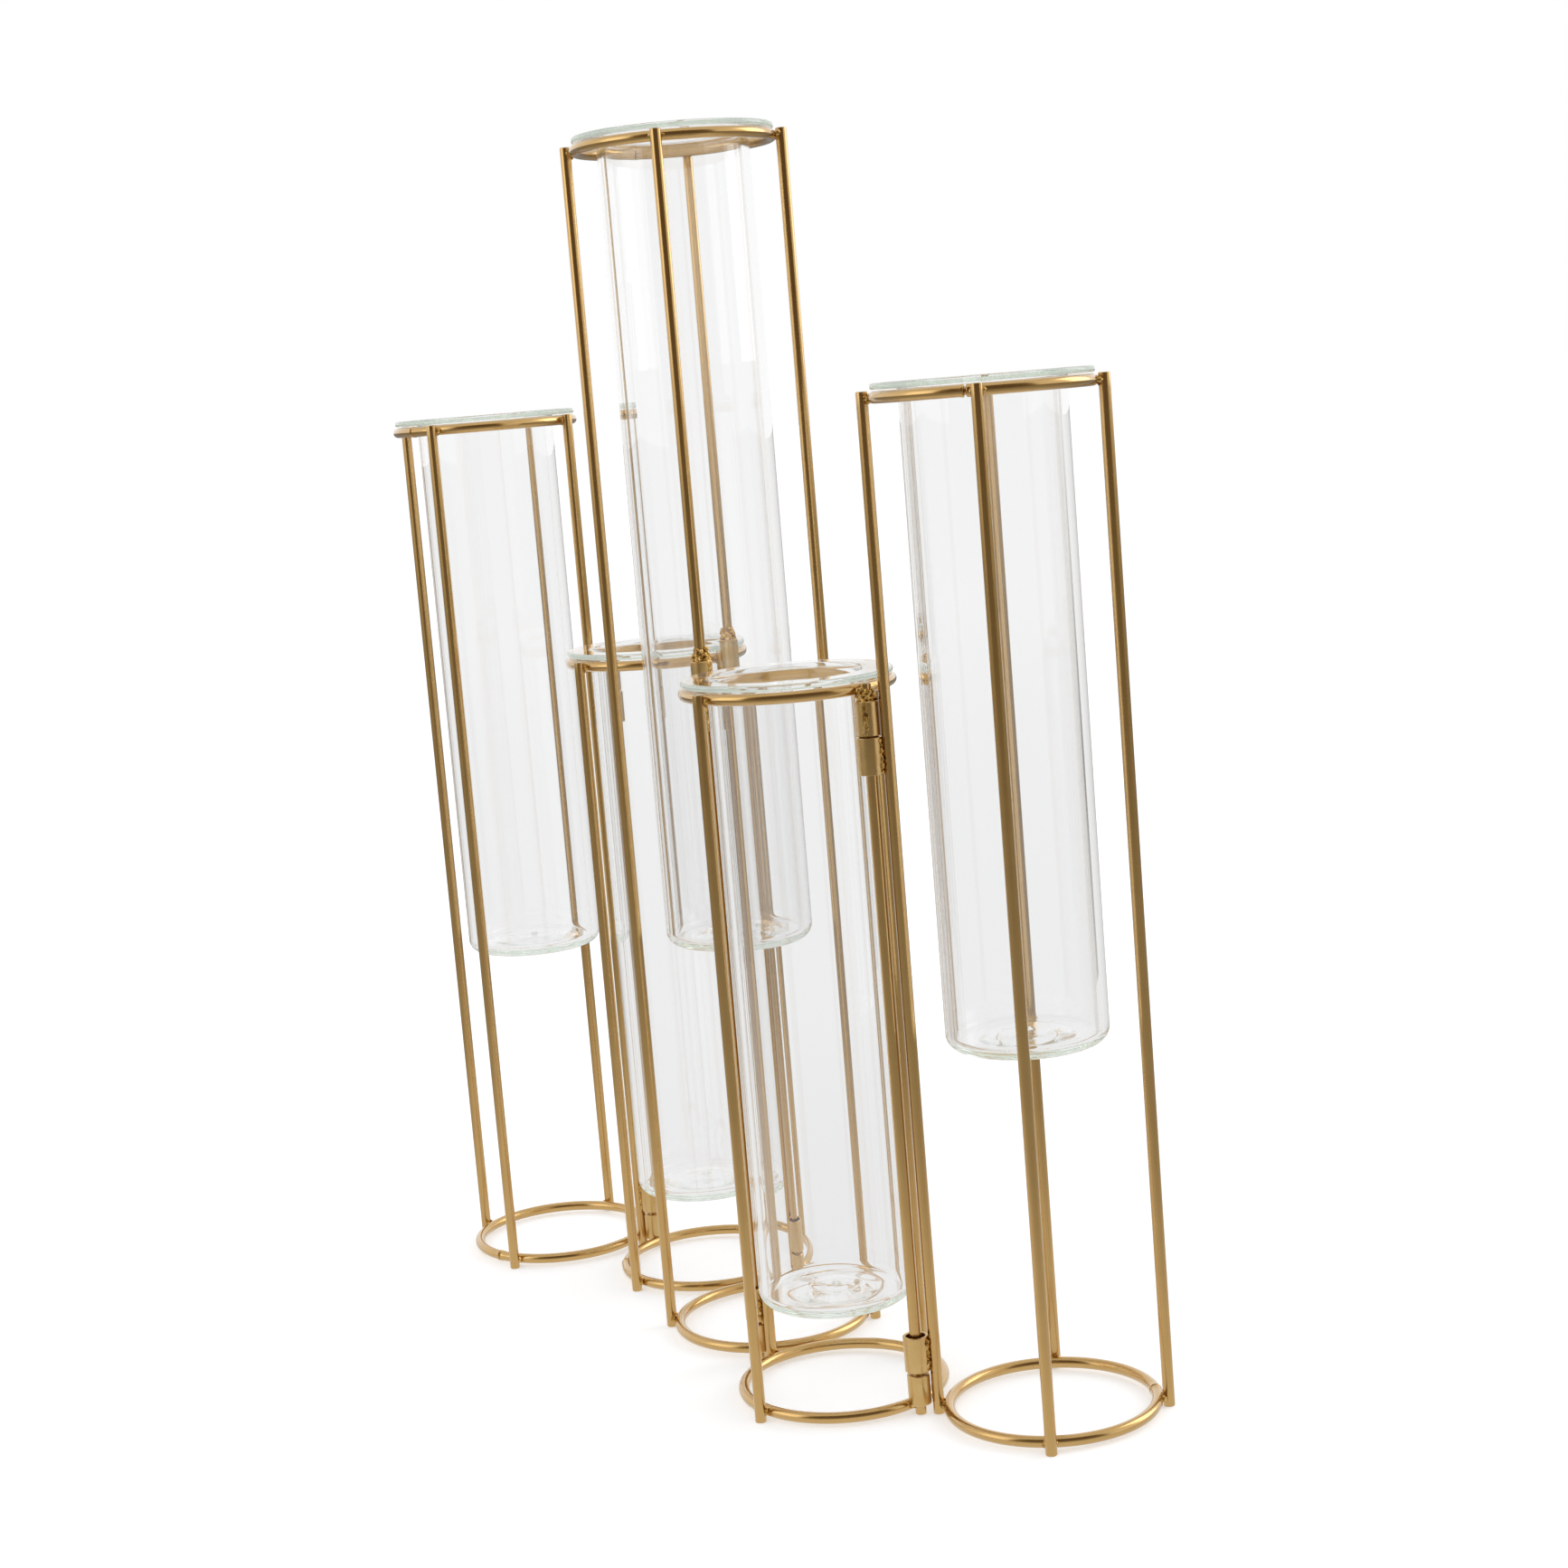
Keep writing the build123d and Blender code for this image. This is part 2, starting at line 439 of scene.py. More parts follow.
def gold_hinge():
    """Satin gold of the turned sleeves and collars."""
    material, tree, shader = new_material("gold_hinge")
    place = object_place(tree)
    turned = stretched_noise(tree, place, TURNED_LINES, detail=3.0)
    cloud = noise(tree, place, HINGE_CLOUDS, detail=4.0)
    body = mix(tree, cloud, GOLD_SATIN, GOLD)
    link(tree, body, shader.inputs["Base Color"])
    plated(shader, lacquer=0.7, lacquer_roughness=0.25)
    sheened(tree, shader, cloud, least=0.24, most=0.36)
    bumped(tree, shader, turned, *HINGE_RELIEF)
    return material


def weld_gold():
    """Rough gold over weld metal, dark brown in the low places of its relief, with a painted
    highlight on its high places.
    """
    material, tree, shader = new_material("weld_gold")
    place = object_place(tree)
    lumps = noise(tree, place, WELD_LUMPS, detail=4.0)
    grit = noise(tree, place, WELD_GRIT, detail=3.0)
    # Weld colour from the relief's noise, with a painted highlight where the relief stands high
    link(tree, ramp(tree, lumps, WELD_TONES), shader.inputs["Base Color"])
    shader.inputs["Metallic"].default_value = 1.0
    sheened(tree, shader, grit, least=0.08, most=0.24)
    bumped(tree, shader, mix(tree, FINE_SHARE, lumps, grit), *WELD_RELIEF)
    return material


def clear_glass():
    """Clear glass with faint clouds; along long paths through it the glass gives out a painted
    pale green glow.
    """
    material, tree, shader = new_material("clear_glass")
    cloud = noise(tree, object_place(tree), GLASS_CLOUDS, detail=1.0)
    link(tree, mix(tree, cloud, GLASS_CLOUDED, GLASS_CLEAR), shader.inputs["Base Color"])
    shader.inputs["Roughness"].default_value = 0.0
    shader.inputs["IOR"].default_value = GLASS_IOR
    shader.inputs["Transmission Weight"].default_value = 1.0
    depth = max(GLASS_DEPTH)
    kept = [1 - share / depth for share in GLASS_DEPTH]
    # The volume's emission is a painted glow: the glass gives out pale green light of its own,
    # more where a path through it is long
    back = [share * tone for share, tone in zip(GLASS_DEPTH, GLASS_GLOW_TONE)]
    taken = add(tree, "ShaderNodeVolumeAbsorption", Density=depth, Color=(*kept, 1))
    given = add(tree, "ShaderNodeEmission", Color=(*back, 1))
    body = tree.nodes.new("ShaderNodeAddShader")
    link(tree, taken.outputs["Volume"], body.inputs[0])
    link(tree, given.outputs["Emission"], body.inputs[1])
    link(tree, body.outputs["Shader"], tree.nodes["Material Output"].inputs["Volume"])
    return material


MATERIALS = {
    "gold_wire": gold_wire(),
    "gold_hinge": gold_hinge(),
    "weld": weld_gold(),
    "clear_glass": clear_glass(),
}


# Mesh helpers

def smooth_by_area(mesh):
    """Shades a mesh smooth, with flat stretches kept flat beside their rounded edges."""
    normals = [Vector() for _ in mesh.vertices]
    for polygon in mesh.polygons:
        polygon.use_smooth = True
        for corner in polygon.vertices:
            normals[corner] += polygon.normal * polygon.area
    mesh.normals_split_custom_set_from_vertices([normal.normalized() for normal in normals])


def mesh_piece(name, mesh, slot, body, *nodes):
    """Makes a finished mesh a piece that rides on a body and stands for its nodes."""
    smooth_by_area(mesh)
    mesh.materials.clear()
    mesh.materials.append(MATERIALS[slot])
    piece = bpy.data.objects.new(name, mesh)
    bpy.context.scene.collection.objects.link(piece)
    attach(piece, body)
    if nodes:
        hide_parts(*nodes)
    return piece


def running_lengths(points):
    """The way gone at each point of a closed chain, and at its start once more."""
    lengths = [0.0]
    for first, second in zip(points, points[1:] + points[:1]):
        lengths.append(lengths[-1] + (second - first).length)
    return lengths


def lay_uv(mesh, loops, rows):
    """Gives a skin over loops its UV map, in metres along and around."""
    along = running_lengths([loop[0] for loop in loops])
    around = running_lengths(loops[0])
    uv = mesh.uv_layers.new(name="UVMap")
    corner = 0
    for row in range(rows):
        for step in range(len(loops[0])):
            spots = ((row, step), (row, step + 1), (row + 1, step + 1), (row + 1, step))
            for row_at, step_at in spots:
                uv.data[corner].uv = (along[row_at], around[step_at])
                corner += 1


def tube_mesh(name, loops, closed, heats=None):
    """A skin over loops of points, closed to a ring or with its two ends capped."""
    count = len(loops[0])
    mesh = bpy.data.meshes.new(name)
    points = [point for loop in loops for point in loop]
    faces = []
    rows = len(loops) if closed else len(loops) - 1
    for row in range(rows):
        after = (row + 1) % len(loops)
        for step in range(count):
            side = (step + 1) % count
            faces.append((
                row * count + step,
                row * count + side,
                after * count + side,
                after * count + step,
            ))
    if not closed:
        faces.append(tuple(reversed(range(count))))
        faces.append(tuple((rows * count) + step for step in range(count)))
    mesh.from_pydata(points, [], faces)
    if heats:
        layer = mesh.attributes.new("heat", "FLOAT", "POINT")
        layer.data.foreach_set("value", [heat for heat in heats for _ in range(count)])
    lay_uv(mesh, loops, rows)
    return mesh


def recalculated(mesh):
    """Merges doubles and points all faces outwards."""
    work = bmesh.new()
    work.from_mesh(mesh)
    bmesh.ops.remove_doubles(work, verts=work.verts, dist=MERGE_DISTANCE)
    bmesh.ops.recalc_face_normals(work, faces=work.faces)
    work.to_mesh(mesh)
    work.free()
    return mesh


# Wire frames

def heat_at(spot, welds):
    """How far the heat of the nearest weld has tinted a point, from 0 to 1."""
    nearest = min((spot - weld).length for weld in welds)
    return HEAT_STRENGTH * exp(-((nearest / HEAT_REACH) ** 2))


def leg_spots(name, height):
    """Where the legs' axes pass a level."""
    return [level(middle(f"{name}_leg_{side}"), height) for side in LEG_SIDES]


def ring_steps(length, seam):
    """Distances round the ring from its zero turn, and how far the skin stands there."""
    reach = SEAM_PROFILE[-1][0]
    steps = []
    for index in range(RING_STEPS):
        away = length * index / RING_STEPS
        gap = abs((away - seam + length / 2) % length - length / 2)
        if gap > reach * SEAM_CLEARANCE_SHARE:
            steps.append((away, 0.0))
    for away, lift in SEAM_PROFILE:
        steps.append(((seam + away) % length, lift))
        if away > 0:
            steps.append(((seam - away) % length, lift))
    return sorted(steps)


def ring_piece(name, place, seam_degrees, body):
    """One ring of bent wire, with the butt weld where its ends meet."""
    node = f"{name}_{place}_ring"
    wire_radius = size(node).z / 2
    ring_radius = size(node).x / 2 - wire_radius
    centre = middle(node)
    length = 2 * pi * ring_radius
    seam = (bearing(name) + radians(seam_degrees)) % (2 * pi) * ring_radius
    seam_spot = centre + heading(seam / ring_radius) * ring_radius
    welds = leg_spots(name, centre.z) + [seam_spot]

    loops = []
    heats = []
    for away, lift in ring_steps(length, seam):
        out = heading(away / ring_radius)
        reach = wire_radius + lift
        loop = []
        for step in range(WIRE_SEGMENTS):
            roll = 2 * pi * step / WIRE_SEGMENTS
            rise = Vector((0, 0, reach * sin(roll)))
            loop.append(centre + out * (ring_radius + reach * cos(roll)) + rise)
        loops.append(loop)
        heats.append(heat_at(centre + out * ring_radius, welds))
    mesh = recalculated(tube_mesh(f"{node}_wire", loops, True, heats))
    return mesh_piece(f"{node}_wire", mesh, "gold_wire", body, node)


def leg_piece(name, side, body):
    """One straight leg with its chamfered ends."""
    node = f"{name}_leg_{side}"
    low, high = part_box(node)
    radius = (high.y - low.y) / 2
    axis = (low + high) / 2
    ring_levels = [middle(f"{name}_{place}_ring").z for place in ("bottom", "top")]
    welds = [level(axis, height) for height in ring_levels]
    count = max(2, round((high.z - low.z) / LEG_STEP))
    heights = [low.z + (high.z - low.z) * index / count for index in range(count + 1)]
    rows = [(low.z, radius - LEG_END_CHAMFER), (low.z + LEG_END_CHAMFER, radius)]
    rows += [(height, radius) for height in heights[1:-1]]
    rows += [(high.z - LEG_END_CHAMFER, radius), (high.z, radius - LEG_END_CHAMFER)]
    outs = [heading(2 * pi * step / WIRE_SEGMENTS) for step in range(WIRE_SEGMENTS)]
    loops = [[level(axis, height) + out * reach for out in outs] for height, reach in rows]
    heats = [heat_at(level(axis, height), welds) for height, _ in rows]
    mesh = recalculated(tube_mesh(f"{node}_wire", loops, False, heats))
    return mesh_piece(f"{node}_wire", mesh, "gold_wire", body, node)


# Hinge sleeves

def sleeve_piece(name, end):
    """A short tube with rounded edges, on the axis of its hinge."""
    node = f"{name}_sleeve_{end}"
    low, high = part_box(node)
    axis = pin_axis(name)
    outer = SLEEVE_RADIUS
    inner = outer - SLEEVE_WALL
    section = (
        (inner + SLEEVE_EDGE, low.z),
        (outer - SLEEVE_EDGE, low.z),
        (outer, low.z + SLEEVE_EDGE),
        (outer, high.z - SLEEVE_EDGE),
        (outer - SLEEVE_EDGE, high.z),
        (inner + SLEEVE_EDGE, high.z),
        (inner, high.z - SLEEVE_EDGE),
        (inner, low.z + SLEEVE_EDGE),
    )
    loops = []
    for step in range(SLEEVE_SEGMENTS):
        out = heading(2 * pi * step / SLEEVE_SEGMENTS)
        loops.append([level(axis, height) + out * reach for reach, height in section])
    mesh = recalculated(tube_mesh(f"{node}_tube", loops, True))
    return mesh_piece(f"{node}_tube", mesh, "gold_hinge", f"{name}_frame", node)


# Weld metal

def socket_of(sockets, name):
    """The socket in use among those of one name."""
    return next(socket for socket in sockets if socket.name == name and socket.enabled)


def scattered_points(tree, given):
    """Turns the given mesh into points, each moved a little at random."""
    spots = tree.nodes.new("GeometryNodeMeshToPoints")
    link(tree, given["Geometry"], spots.inputs["Mesh"])
    jump = add(tree, "FunctionNodeRandomValue", data_type="FLOAT_VECTOR")
    socket_of(jump.inputs, "Min").default_value = (-1, -1, -1)
    link(tree, given["Seed"], jump.inputs["Seed"])
    shift = add(tree, "ShaderNodeVectorMath", operation="SCALE")
    link(tree, socket_of(jump.outputs, "Value"), shift.inputs[0])
    link(tree, given["Scatter"], shift.inputs["Scale"])
    moved = tree.nodes.new("GeometryNodeSetPosition")
    link(tree, spots.outputs["Points"], moved.inputs["Geometry"])
    link(tree, shift.outputs["Vector"], moved.inputs["Offset"])
    return moved.outputs["Geometry"]


def bead_sizes(tree, given):
    """Each point's own bead radius, varied at random."""
    radius = add(tree, "GeometryNodeInputNamedAttribute", data_type="FLOAT")
    radius.inputs["Name"].default_value = "bead"
    vary = add(tree, "FunctionNodeRandomValue", data_type="FLOAT")
    socket_of(vary.inputs, "Min").default_value = BEAD_LEAST_SHARE
    socket_of(vary.inputs, "Max").default_value = BEAD_MOST_SHARE
    link(tree, given["Seed"], vary.inputs["Seed"])
    sized = add(tree, "ShaderNodeMath", operation="MULTIPLY")
    link(tree, radius.outputs["Attribute"], sized.inputs[0])
    link(tree, socket_of(vary.outputs, "Value"), sized.inputs[1])
    return sized.outputs[0]


def fused_skin(tree, given, points, radius):
    """One skin round the beads at all the points."""
    fused = add(tree, "GeometryNodePointsToVolume", resolution_mode="VOXEL_SIZE")
    link(tree, points, fused.inputs["Points"])
    link(tree, radius, fused.inputs["Radius"])
    link(tree, given["Voxel"], fused.inputs["Voxel Size"])
    skin = add(tree, "GeometryNodeVolumeToMesh", resolution_mode="GRID")
    link(tree, fused.outputs["Volume"], skin.inputs["Volume"])
    return skin.outputs["Mesh"]


def melted_skin(tree, given, skin, place):
    """Smooths a skin, as if its beads had run together."""
    melt = add(tree, "GeometryNodeBlurAttribute", data_type="FLOAT_VECTOR")
    link(tree, place, socket_of(melt.inputs, "Value"))
    link(tree, given["Melt"], melt.inputs["Iterations"])
    melted = tree.nodes.new("GeometryNodeSetPosition")
    link(tree, skin, melted.inputs["Geometry"])
    link(tree, socket_of(melt.outputs, "Value"), melted.inputs["Position"])
    return melted.outputs["Geometry"]


def roughened_skin(tree, given, skin, place):
    """Moves a skin in and out by a noise."""
    grain = tree.nodes.new("ShaderNodeTexNoise")
    link(tree, place, grain.inputs["Vector"])
    link(tree, given["Grain"], grain.inputs["Scale"])
    centred = add(tree, "ShaderNodeMath", operation="SUBTRACT")
    link(tree, grain.outputs["Fac"], centred.inputs[0])
    lift = add(tree, "ShaderNodeMath", operation="MULTIPLY")
    link(tree, centred.outputs[0], lift.inputs[0])
    link(tree, given["Roughness"], lift.inputs[1])
    out = tree.nodes.new("GeometryNodeInputNormal")
    along = add(tree, "ShaderNodeVectorMath", operation="SCALE")
    link(tree, out.outputs["Normal"], along.inputs[0])
    link(tree, lift.outputs[0], along.inputs["Scale"])
    rough = tree.nodes.new("GeometryNodeSetPosition")
    link(tree, skin, rough.inputs["Geometry"])
    link(tree, along.outputs["Vector"], rough.inputs["Offset"])
    return rough.outputs["Geometry"]


def bead_tree():
    """Fuses a bead at each point of a cloud, each of random size, and roughens the skin."""
    tree = bpy.data.node_groups.new("weld_beads", "GeometryNodeTree")
    faces = tree.interface
    faces.new_socket("Geometry", in_out="OUTPUT", socket_type="NodeSocketGeometry")
    sockets = (
        ("Geometry", "NodeSocketGeometry"),
        ("Voxel", "NodeSocketFloat"),
        ("Scatter", "NodeSocketFloat"),
        ("Melt", "NodeSocketInt"),
        ("Roughness", "NodeSocketFloat"),
        ("Grain", "NodeSocketFloat"),
        ("Seed", "NodeSocketInt"),
        ("Material", "NodeSocketMaterial"),
    )
    for name, kind in sockets:
        faces.new_socket(name, in_out="INPUT", socket_type=kind)
    given = tree.nodes.new("NodeGroupInput").outputs
    points = scattered_points(tree, given)
    skin = fused_skin(tree, given, points, bead_sizes(tree, given))
    place = tree.nodes.new("GeometryNodeInputPosition").outputs["Position"]
    skin = melted_skin(tree, given, skin, place)
    skin = roughened_skin(tree, given, skin, place)

    real = tree.nodes.new("GeometryNodeRealizeInstances")
    link(tree, skin, real.inputs["Geometry"])
    painted = tree.nodes.new("GeometryNodeSetMaterial")
    link(tree, real.outputs["Geometry"], painted.inputs["Geometry"])
    link(tree, given["Material"], painted.inputs["Material"])
    result = tree.nodes.new("NodeGroupOutput")
    link(tree, painted.outputs["Geometry"], result.inputs["Geometry"])
    return tree


def beads_mesh(name, beads, tree):
    """Runs the bead tree over points with radii and returns the plain mesh it makes."""
    cloud = bpy.data.meshes.new(name)
    cloud.from_pydata([place for place, _ in beads], [], [])
    radii = cloud.attributes.new("bead", "FLOAT", "POINT")
    radii.data.foreach_set("value", [radius for _, radius in beads])
    item = bpy.data.objects.new(name, cloud)
    bpy.context.scene.collection.objects.link(item)
    modifier = item.modifiers.new("beads", "NODES")
    modifier.node_group = tree
    values = {
        "Voxel": BEAD_VOXEL,
        "Scatter": BEAD_SCATTER,
        "Melt": BEAD_MELT,
        "Roughness": BEAD_ROUGHNESS,
        "Grain": BEAD_GRAIN,
        "Seed": BEAD_SEED,
        "Material": MATERIALS["weld"],
    }
    for socket in tree.interface.items_tree:
        if socket.in_out == "INPUT" and socket.name in values:
            modifier[socket.identifier] = values[socket.name]
    graph = bpy.context.evaluated_depsgraph_get()
    mesh = bpy.data.meshes.new_from_object(item.evaluated_get(graph))
    bpy.data.objects.remove(item)
    return mesh


def leg_beads(name, place):
    """Beads in the corners between a ring and each of its legs."""
    node = f"{name}_{place}_ring"
    centre = middle(node)
    drop = -LEG_BEAD_DROP if place == "top" else LEG_BEAD_DROP
    beads = []
    for spot in leg_spots(name, centre.z):
        out = (spot - centre).normalized()
        across = crosswise(out)
        for side in (-1, 1):
            corner = spot - out * LEG_BEAD_BACK + across * (side * LEG_BEAD_SIDE)
            beads.append((corner, LEG_BEAD_RADIUS))
            under = corner + Vector((0, 0, drop)) - across * (side * LEG_BEAD_RADIUS / 2)
            under -= out * (LEG_BEAD_RADIUS / 2)
            beads.append((under, LEG_BEAD_RADIUS * LEG_UNDER_BEAD_SHARE))
    return beads


def sleeve_beads(name):
    """Two upright runs of beads between each sleeve and the leg that carries it."""
    _, side = HINGES[name]
    leg = middle(f"{name}_leg_{'left' if side == 'right' else 'right'}")
    axis = pin_axis(name)
    toward = level(leg - axis, 0).normalized()
    across = crosswise(toward)
    seam = level(axis, 0) + toward * (SLEEVE_RADIUS * SLEEVE_BEAD_SEAT_SHARE)
    beads = []
    for end in ("upper", "lower"):
        low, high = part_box(f"{name}_sleeve_{end}")
        height = low.z + SLEEVE_BEAD_INSET
        while height <= high.z - SLEEVE_BEAD_INSET:
            for hand in (-1, 1):
                spot = seam + across * (hand * SLEEVE_BEAD_SIDE)
                beads.append((level(spot, height), SLEEVE_BEAD_RADIUS))
            height += SLEEVE_BEAD_PITCH
    return beads


def stop_beads(name, side):
    """The rough weld on top of an upper collar: rows of beads round the leg, up to the ring."""
    collar_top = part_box(f"{name}_collar_upper_{side}")[1].z
    ring = f"{name}_top_ring"
    top = min(collar_top + STOP_WELD_HEIGHT, middle(ring).z + size(ring).z / 4)
    axis = middle(f"{name}_leg_{side}")
    wire_radius = size(f"{name}_leg_{side}").x / 2
    beads = []
    rows = max(2, round((top - collar_top) / STOP_BEAD_PITCH))
    for row in range(rows):
        share = row / rows
        seat = STOP_BEAD_SEAT_SHARE - STOP_BEAD_SEAT_SHARE * share
        height = collar_top + STOP_BEAD_PITCH * (row + STOP_BEAD_START_SHARE)
        radius = STOP_BEAD_RADIUS * (1 - STOP_BEAD_TAPER_SHARE * share)
        for step in range(STOP_BEAD_TURNS):
            out = heading(2 * pi * (step + row / 2) / STOP_BEAD_TURNS)
            spot = level(axis, height) + out * (wire_radius + STOP_BEAD_RADIUS * seat)
            beads.append((spot, radius))
    return beads


def run_beads(name, side):
    """The run of weld that went down the face of an upper collar."""
    collar = f"{name}_collar_upper_{side}"
    low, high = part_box(collar)
    axis = middle(f"{name}_leg_{side}")
    collar_radius = (high.x - low.x) / 2
    face = heading(bearing(name) + radians(WELD_RUNS[collar]))
    across = crosswise(face)
    beads = []
    height = low.z + RUN_BEAD_RADIUS
    while height < high.z:
        for hand in (-1, 0, 1):
            sink = RUN_BEAD_RADIUS * (RUN_BEAD_SINK_SHARE + RUN_EDGE_SINK_SHARE * abs(hand))
            spot = level(axis, height) + face * (collar_radius - sink)
            beads.append((spot + across * (hand * RUN_BEAD_SPREAD), RUN_BEAD_RADIUS))
        height += RUN_BEAD_PITCH
    return beads


def press_in(mesh, collar):
    """Presses the weld metal at a collar in, clear of the neighbour's leg that swings past it."""
    low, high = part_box(collar)
    reach = (high.x - low.x) / 2 + COLLAR_WELD_PROUD
    for vertex in mesh.vertices:
        centre = level((low + high) / 2, vertex.co.z)
        away = vertex.co - centre
        near = low.z - COLLAR_WELD_REACH < vertex.co.z < high.z + COLLAR_WELD_REACH
        if near and reach < away.length < COLLAR_WELD_REACH:
            vertex.co = centre + away.normalized() * reach


def weld_piece(name, tree):
    """All the weld metal of one frame."""
    beads = leg_beads(name, "top") + leg_beads(name, "bottom")
    nodes = []
    if name in HINGES:
        beads += sleeve_beads(name)
        nodes.append(f"{name}_sleeve_welds")
    for inner, side in HINGES.values():
        if inner == name:
            beads += stop_beads(name, side) + run_beads(name, side)
            nodes.append(f"{name}_collar_weld_{side}")
    mesh = beads_mesh(f"{name}_weld_metal", beads, tree)
    for inner, side in HINGES.values():
        if inner == name:
            press_in(mesh, f"{name}_collar_upper_{side}")
    return mesh_piece(f"{name}_weld_metal", mesh, "weld", f"{name}_frame", *nodes)


# Glass tubes

def rounded(points, radii):
    """The outline through points with each inner corner turned by an arc of its radius."""
    path = [points[0]]
    for before, corner, after, radius in zip(points, points[1:], points[2:], radii):
        back = (before - corner).normalized()
        ahead = (after - corner).normalized()
        half = back.angle(ahead) / 2
        reach = radius / tan(half)
        centre = corner + (back + ahead).normalized() * (radius / sin(half))
        start = corner + back * reach - centre
        end = corner + ahead * reach - centre
        swing = start.angle_signed(end)
        count = max(2, round(abs(swing) / ARC_STEP))
        for index in range(count + 1):
            turn = Matrix.Rotation(-swing * index / count, 2)
            path.append(centre + turn @ start)
    path.append(points[-1])
    return path


def glass_outline(rim_radius, length):
    """The half section of a tube, from the middle of its underside round to its inner floor."""
    inner = TUBE_RADIUS - TUBE_WALL
    floor_top = TUBE_FLOOR - length
    middle_top = floor_top + FLOOR_PUSH_UP
    points = [Vector(point) for point in (
        (0, FLOOR_PUSH_UP - length),
        (FLOOR_RING_RADIUS, -length),
        (TUBE_RADIUS, -length),
        (TUBE_RADIUS, 0),
        (rim_radius, 0),
        (rim_radius, RIM_THICKNESS),
        (inner, RIM_THICKNESS),
        (inner, floor_top),
        (FLOOR_RING_RADIUS, floor_top),
        (FLOOR_RIDGE_RADIUS, middle_top + FLOOR_RIDGE_HEIGHT),
        (FLOOR_SEED_RADIUS * 2, middle_top),
        (FLOOR_SEED_RADIUS, middle_top),
        (FLOOR_SEED_RADIUS / 2, middle_top + FLOOR_SEED_HEIGHT),
        (0, middle_top + FLOOR_SEED_HEIGHT),
    )]
    radii = (
        FLOOR_BLEND_RADIUS,
        HEEL_RADIUS,
        RIM_ROOT_RADIUS,
        RIM_EDGE_RADIUS,
        RIM_EDGE_RADIUS,
        RIM_MOUTH_RADIUS,
        FLOOR_CORNER_RADIUS,
        FLOOR_BLEND_RADIUS,
        FLOOR_BLEND_RADIUS,
        FLOOR_SEED_RADIUS,
        FLOOR_SEED_RADIUS / 4,
        FLOOR_SEED_RADIUS / 4,
    )
    return rounded(points, radii)


def lathe(name, outline, centre):
    """A closed body turned from an outline whose two ends lie on its axis."""
    mesh = bpy.data.meshes.new(name)
    points = []
    rings = []
    for reach, height in outline:
        first = len(points)
        if reach < MERGE_DISTANCE:
            points.append(centre + Vector((0, 0, height)))
            rings.append([first])
            continue
        for step in range(GLASS_SEGMENTS):
            out = heading(2 * pi * step / GLASS_SEGMENTS)
            points.append(centre + out * reach + Vector((0, 0, height)))
        rings.append(list(range(first, first + GLASS_SEGMENTS)))
    faces = []
    for lower, upper in zip(rings, rings[1:]):
        for step in range(GLASS_SEGMENTS):
            side = (step + 1) % GLASS_SEGMENTS
            corners = [lower[step % len(lower)], lower[side % len(lower)]]
            corners += [upper[side % len(upper)], upper[step % len(upper)]]
            faces.append(list(dict.fromkeys(corners)))
    mesh.from_pydata(points, [], faces)
    return recalculated(mesh)


def glass_piece(name):
    """The tube of one frame, from its rim, which rests on the top ring, to its floor."""
    node = f"{name}_glass_tube"
    low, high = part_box(node)
    rim_radius = (high.x - low.x) / 2
    length = high.z - low.z - RIM_THICKNESS
    centre = level(middle(node), high.z - RIM_THICKNESS)
    mesh = lathe(f"{name}_glass", glass_outline(rim_radius, length), centre)
    return mesh_piece(f"{name}_glass", mesh, "clear_glass", f"{name}_tube", node)


# The object

weld_tree = bead_tree()
for name in FRAME_NAMES:
    body = f"{name}_frame"
    ring_piece(name, "top", TOP_SEAMS[name], body)
    ring_piece(name, "bottom", BASE_SEAMS[name], body)
    for side in LEG_SIDES:
        leg_piece(name, side, body)
    glass_piece(name)
    if name in HINGES:
        sleeve_piece(name, "upper")
        sleeve_piece(name, "lower")
    weld_piece(name, weld_tree)

# The collars show as their own solids; all other solids have a finished piece in their place
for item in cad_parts.values():
    if item.hide_render:
        continue
    item.data.materials.clear()
    item.data.materials.append(MATERIALS["gold_hinge"])


# Camera, floor and light

def add_camera():
    """The camera of the photograph."""
    ahead = Vector((
        -sin(CAMERA_YAW) * cos(CAMERA_PITCH),
        cos(CAMERA_YAW) * cos(CAMERA_PITCH),
        -sin(CAMERA_PITCH),
    ))
    right = Vector((cos(CAMERA_YAW), sin(CAMERA_YAW), 0))
    up = right.cross(ahead)
    rolled_right = right * cos(CAMERA_ROLL) + up * sin(CAMERA_ROLL)
    rolled_up = up * cos(CAMERA_ROLL) - right * sin(CAMERA_ROLL)
    data = bpy.data.cameras.new("camera")
    data.sensor_width = SENSOR_WIDTH
    data.lens = SENSOR_WIDTH * FOCAL_PIXELS / PHOTO_PIXELS
    data.clip_start = CAMERA_NEAR
    data.clip_end = CAMERA_FAR
    camera = bpy.data.objects.new("camera", data)
    turn = Matrix((rolled_right, rolled_up, -ahead)).transposed().to_4x4()
    camera.matrix_world = Matrix.Translation(CAMERA_PLACE) @ turn
    bpy.context.scene.collection.objects.link(camera)
    bpy.context.scene.camera = camera


def aim(item, place, facing, axis):
    """Puts an item at a place, with one of its axes turned to a point."""
    turn = (Vector(facing) - Vector(place)).to_track_quat(axis, "Y")
    item.matrix_world = Matrix.Translation(Vector(place)) @ turn.to_matrix().to_4x4()
    bpy.context.scene.collection.objects.link(item)


def panel(name, place, facing, width, height):
    """A flat rectangle at a place, turned to face a point."""
    mesh = bpy.data.meshes.new(name)
    half_width = width / 2
    half_height = height / 2
    corners = [
        (-half_width, -half_height, 0),
        (half_width, -half_height, 0),
        (half_width, half_height, 0),
        (-half_width, half_height, 0),
    ]
    mesh.from_pydata(corners, [], [(0, 1, 2, 3)])
    item = bpy.data.objects.new(name, mesh)
    aim(item, place, facing, "Z")
    return item


